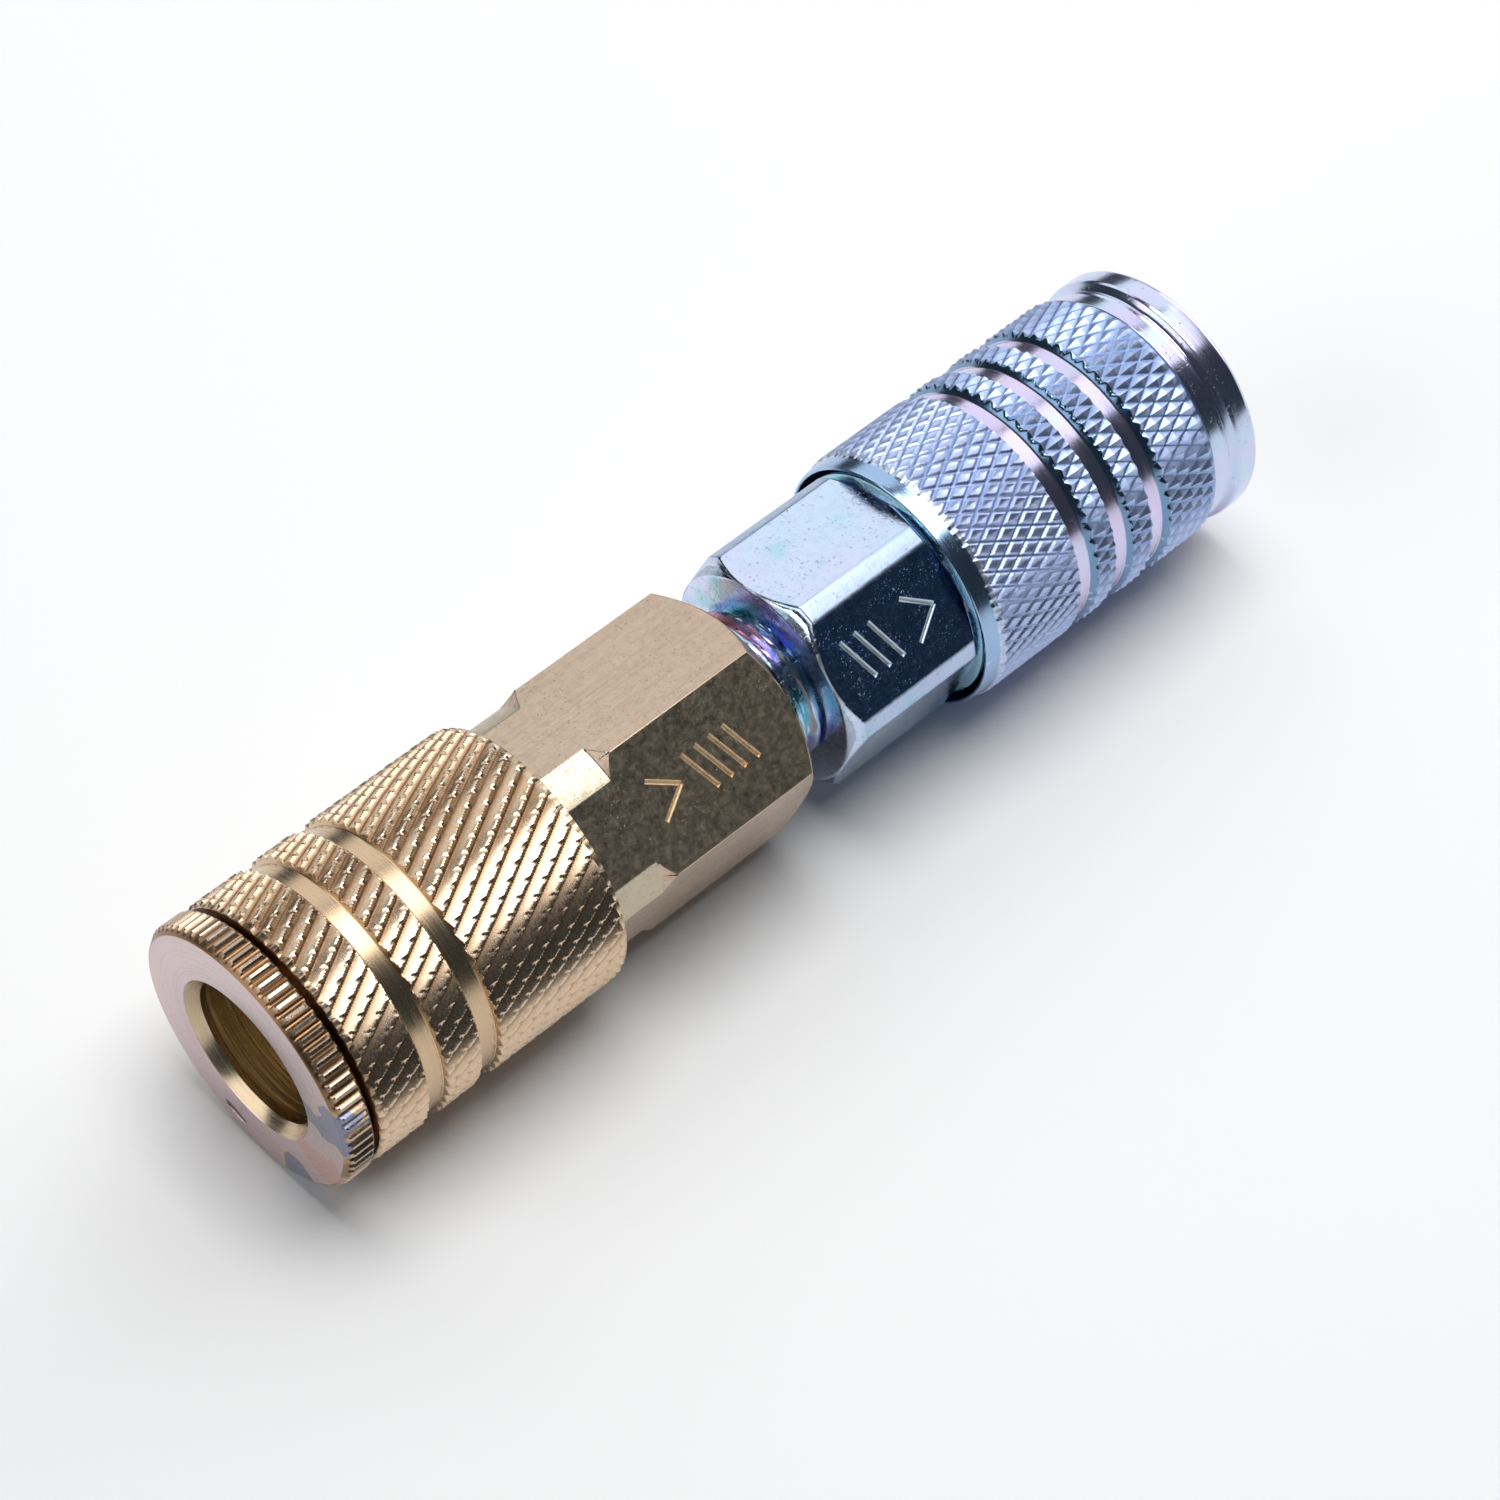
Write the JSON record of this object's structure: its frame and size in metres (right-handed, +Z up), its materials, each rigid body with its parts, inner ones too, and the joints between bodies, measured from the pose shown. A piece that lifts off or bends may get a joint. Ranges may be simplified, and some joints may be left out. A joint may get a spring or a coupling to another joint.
{
  "type": "quick disconnect coupler",
  "caption": "Pair of sleeve-type quick disconnect couplers joined by a pipe thread, with sprung knurled sleeves, locking balls and poppet valves.",
  "frame": {"origin": "on the common axis, half way between the two mouths", "axes": "+X along the common axis from the brass coupler's mouth to the steel coupler's mouth, +Z up with the pair lying on its side"},
  "size_m": [0.0974, 0.023, 0.023],
  "materials": {
    "brass": "turned, knurled and lightly tarnished brass",
    "zinc_plate": "bright zinc-plated steel with a blue passivation",
    "hard_steel": "polished hardened steel",
    "spring_steel": "drawn spring wire",
    "copper": "copper-washed ring",
    "nitrile": "black nitrile rubber"
  },
  "bodies": {
    "frame": {"brass_rear_body": "brass", "brass_barrel": "brass", "brass_nose_ring": "brass", "brass_stop_ring": "copper", "brass_sleeve_spring": "spring_steel", "brass_body_oring": "nitrile", "brass_plug_seal": "nitrile", "brass_valve_guide": "brass", "brass_valve_spring": "spring_steel", "steel_rear_body": "zinc_plate", "steel_barrel": "zinc_plate", "steel_nose_ring": "zinc_plate", "steel_stop_ring": "copper", "steel_sleeve_spring": "spring_steel", "steel_body_oring": "nitrile", "steel_plug_seal": "nitrile", "steel_valve_guide": "zinc_plate", "steel_valve_spring": "spring_steel"},
    "brass_washer": {"brass_spring_washer": "hard_steel"},
    "brass_sleeve": {"brass_sleeve": "brass"},
    "brass_valve": {"brass_valve_poppet": "brass", "brass_valve_seal": "nitrile"},
    "brass_ball_1": {"brass_ball_1": "hard_steel"},
    "brass_ball_2": {"brass_ball_2": "hard_steel"},
    "brass_ball_3": {"brass_ball_3": "hard_steel"},
    "brass_ball_4": {"brass_ball_4": "hard_steel"},
    "brass_ball_5": {"brass_ball_5": "hard_steel"},
    "brass_ball_6": {"brass_ball_6": "hard_steel"},
    "steel_washer": {"steel_spring_washer": "hard_steel"},
    "steel_sleeve": {"steel_sleeve": "zinc_plate"},
    "steel_valve": {"steel_valve_poppet": "zinc_plate", "steel_valve_seal": "nitrile"},
    "steel_ball_1": {"steel_ball_1": "hard_steel"},
    "steel_ball_2": {"steel_ball_2": "hard_steel"},
    "steel_ball_3": {"steel_ball_3": "hard_steel"},
    "steel_ball_4": {"steel_ball_4": "hard_steel"},
    "steel_ball_5": {"steel_ball_5": "hard_steel"},
    "steel_ball_6": {"steel_ball_6": "hard_steel"}
  },
  "joints": [
    {"name": "brass_sleeve_slide", "type": "slide", "parent": "frame", "child": "brass_washer", "axis": [1, 0, 0], "range_m": [0, 0.004], "stiffness_N_per_m": 1500, "springref_m": -0.005, "deforming": ["brass_sleeve_spring"]},
    {"name": "brass_sleeve_turn", "type": "hinge", "parent": "brass_washer", "child": "brass_sleeve", "pos_m": [-0.03415, 0, 0], "axis": [1, 0, 0], "continuous": true},
    {"name": "brass_valve_slide", "type": "slide", "parent": "frame", "child": "brass_valve", "axis": [1, 0, 0], "range_m": [0, 0.003], "stiffness_N_per_m": 600, "springref_m": -0.004, "deforming": ["brass_valve_spring"]},
    {"name": "brass_ball_1_out", "type": "slide", "parent": "frame", "child": "brass_ball_1", "axis": [0, -1, 0], "range_m": [0, 0.00095]},
    {"name": "brass_ball_2_out", "type": "slide", "parent": "frame", "child": "brass_ball_2", "axis": [0, -0.5, 0.866], "range_m": [0, 0.00095]},
    {"name": "brass_ball_3_out", "type": "slide", "parent": "frame", "child": "brass_ball_3", "axis": [0, 0.5, 0.866], "range_m": [0, 0.00095]},
    {"name": "brass_ball_4_out", "type": "slide", "parent": "frame", "child": "brass_ball_4", "axis": [0, 1, 0], "range_m": [0, 0.00095]},
    {"name": "brass_ball_5_out", "type": "slide", "parent": "frame", "child": "brass_ball_5", "axis": [0, 0.5, -0.866], "range_m": [0, 0.00095]},
    {"name": "brass_ball_6_out", "type": "slide", "parent": "frame", "child": "brass_ball_6", "axis": [0, -0.5, -0.866], "range_m": [0, 0.00095]},
    {"name": "steel_sleeve_slide", "type": "slide", "parent": "frame", "child": "steel_washer", "axis": [-1, 0, 0], "range_m": [0, 0.004], "stiffness_N_per_m": 1500, "springref_m": -0.005, "deforming": ["steel_sleeve_spring"]},
    {"name": "steel_sleeve_turn", "type": "hinge", "parent": "steel_washer", "child": "steel_sleeve", "pos_m": [0.03385, 0, 0], "axis": [1, 0, 0], "continuous": true},
    {"name": "steel_valve_slide", "type": "slide", "parent": "frame", "child": "steel_valve", "axis": [-1, 0, 0], "range_m": [0, 0.003], "stiffness_N_per_m": 600, "springref_m": -0.004, "deforming": ["steel_valve_spring"]},
    {"name": "steel_ball_1_out", "type": "slide", "parent": "frame", "child": "steel_ball_1", "axis": [0, 1, 0], "range_m": [0, 0.00095]},
    {"name": "steel_ball_2_out", "type": "slide", "parent": "frame", "child": "steel_ball_2", "axis": [0, 0.5, 0.866], "range_m": [0, 0.00095]},
    {"name": "steel_ball_3_out", "type": "slide", "parent": "frame", "child": "steel_ball_3", "axis": [0, -0.5, 0.866], "range_m": [0, 0.00095]},
    {"name": "steel_ball_4_out", "type": "slide", "parent": "frame", "child": "steel_ball_4", "axis": [0, -1, 0], "range_m": [0, 0.00095]},
    {"name": "steel_ball_5_out", "type": "slide", "parent": "frame", "child": "steel_ball_5", "axis": [0, -0.5, -0.866], "range_m": [0, 0.00095]},
    {"name": "steel_ball_6_out", "type": "slide", "parent": "frame", "child": "steel_ball_6", "axis": [0, 0.5, -0.866], "range_m": [0, 0.00095]}
  ],
  "couplings": [
    {"joint": "brass_ball_1_out", "follows": "brass_sleeve_slide", "ratio": 0.2375},
    {"joint": "brass_ball_2_out", "follows": "brass_sleeve_slide", "ratio": 0.2375},
    {"joint": "brass_ball_3_out", "follows": "brass_sleeve_slide", "ratio": 0.2375},
    {"joint": "brass_ball_4_out", "follows": "brass_sleeve_slide", "ratio": 0.2375},
    {"joint": "brass_ball_5_out", "follows": "brass_sleeve_slide", "ratio": 0.2375},
    {"joint": "brass_ball_6_out", "follows": "brass_sleeve_slide", "ratio": 0.2375},
    {"joint": "steel_ball_1_out", "follows": "steel_sleeve_slide", "ratio": 0.2375},
    {"joint": "steel_ball_2_out", "follows": "steel_sleeve_slide", "ratio": 0.2375},
    {"joint": "steel_ball_3_out", "follows": "steel_sleeve_slide", "ratio": 0.2375},
    {"joint": "steel_ball_4_out", "follows": "steel_sleeve_slide", "ratio": 0.2375},
    {"joint": "steel_ball_5_out", "follows": "steel_sleeve_slide", "ratio": 0.2375},
    {"joint": "steel_ball_6_out", "follows": "steel_sleeve_slide", "ratio": 0.2375}
  ]
}
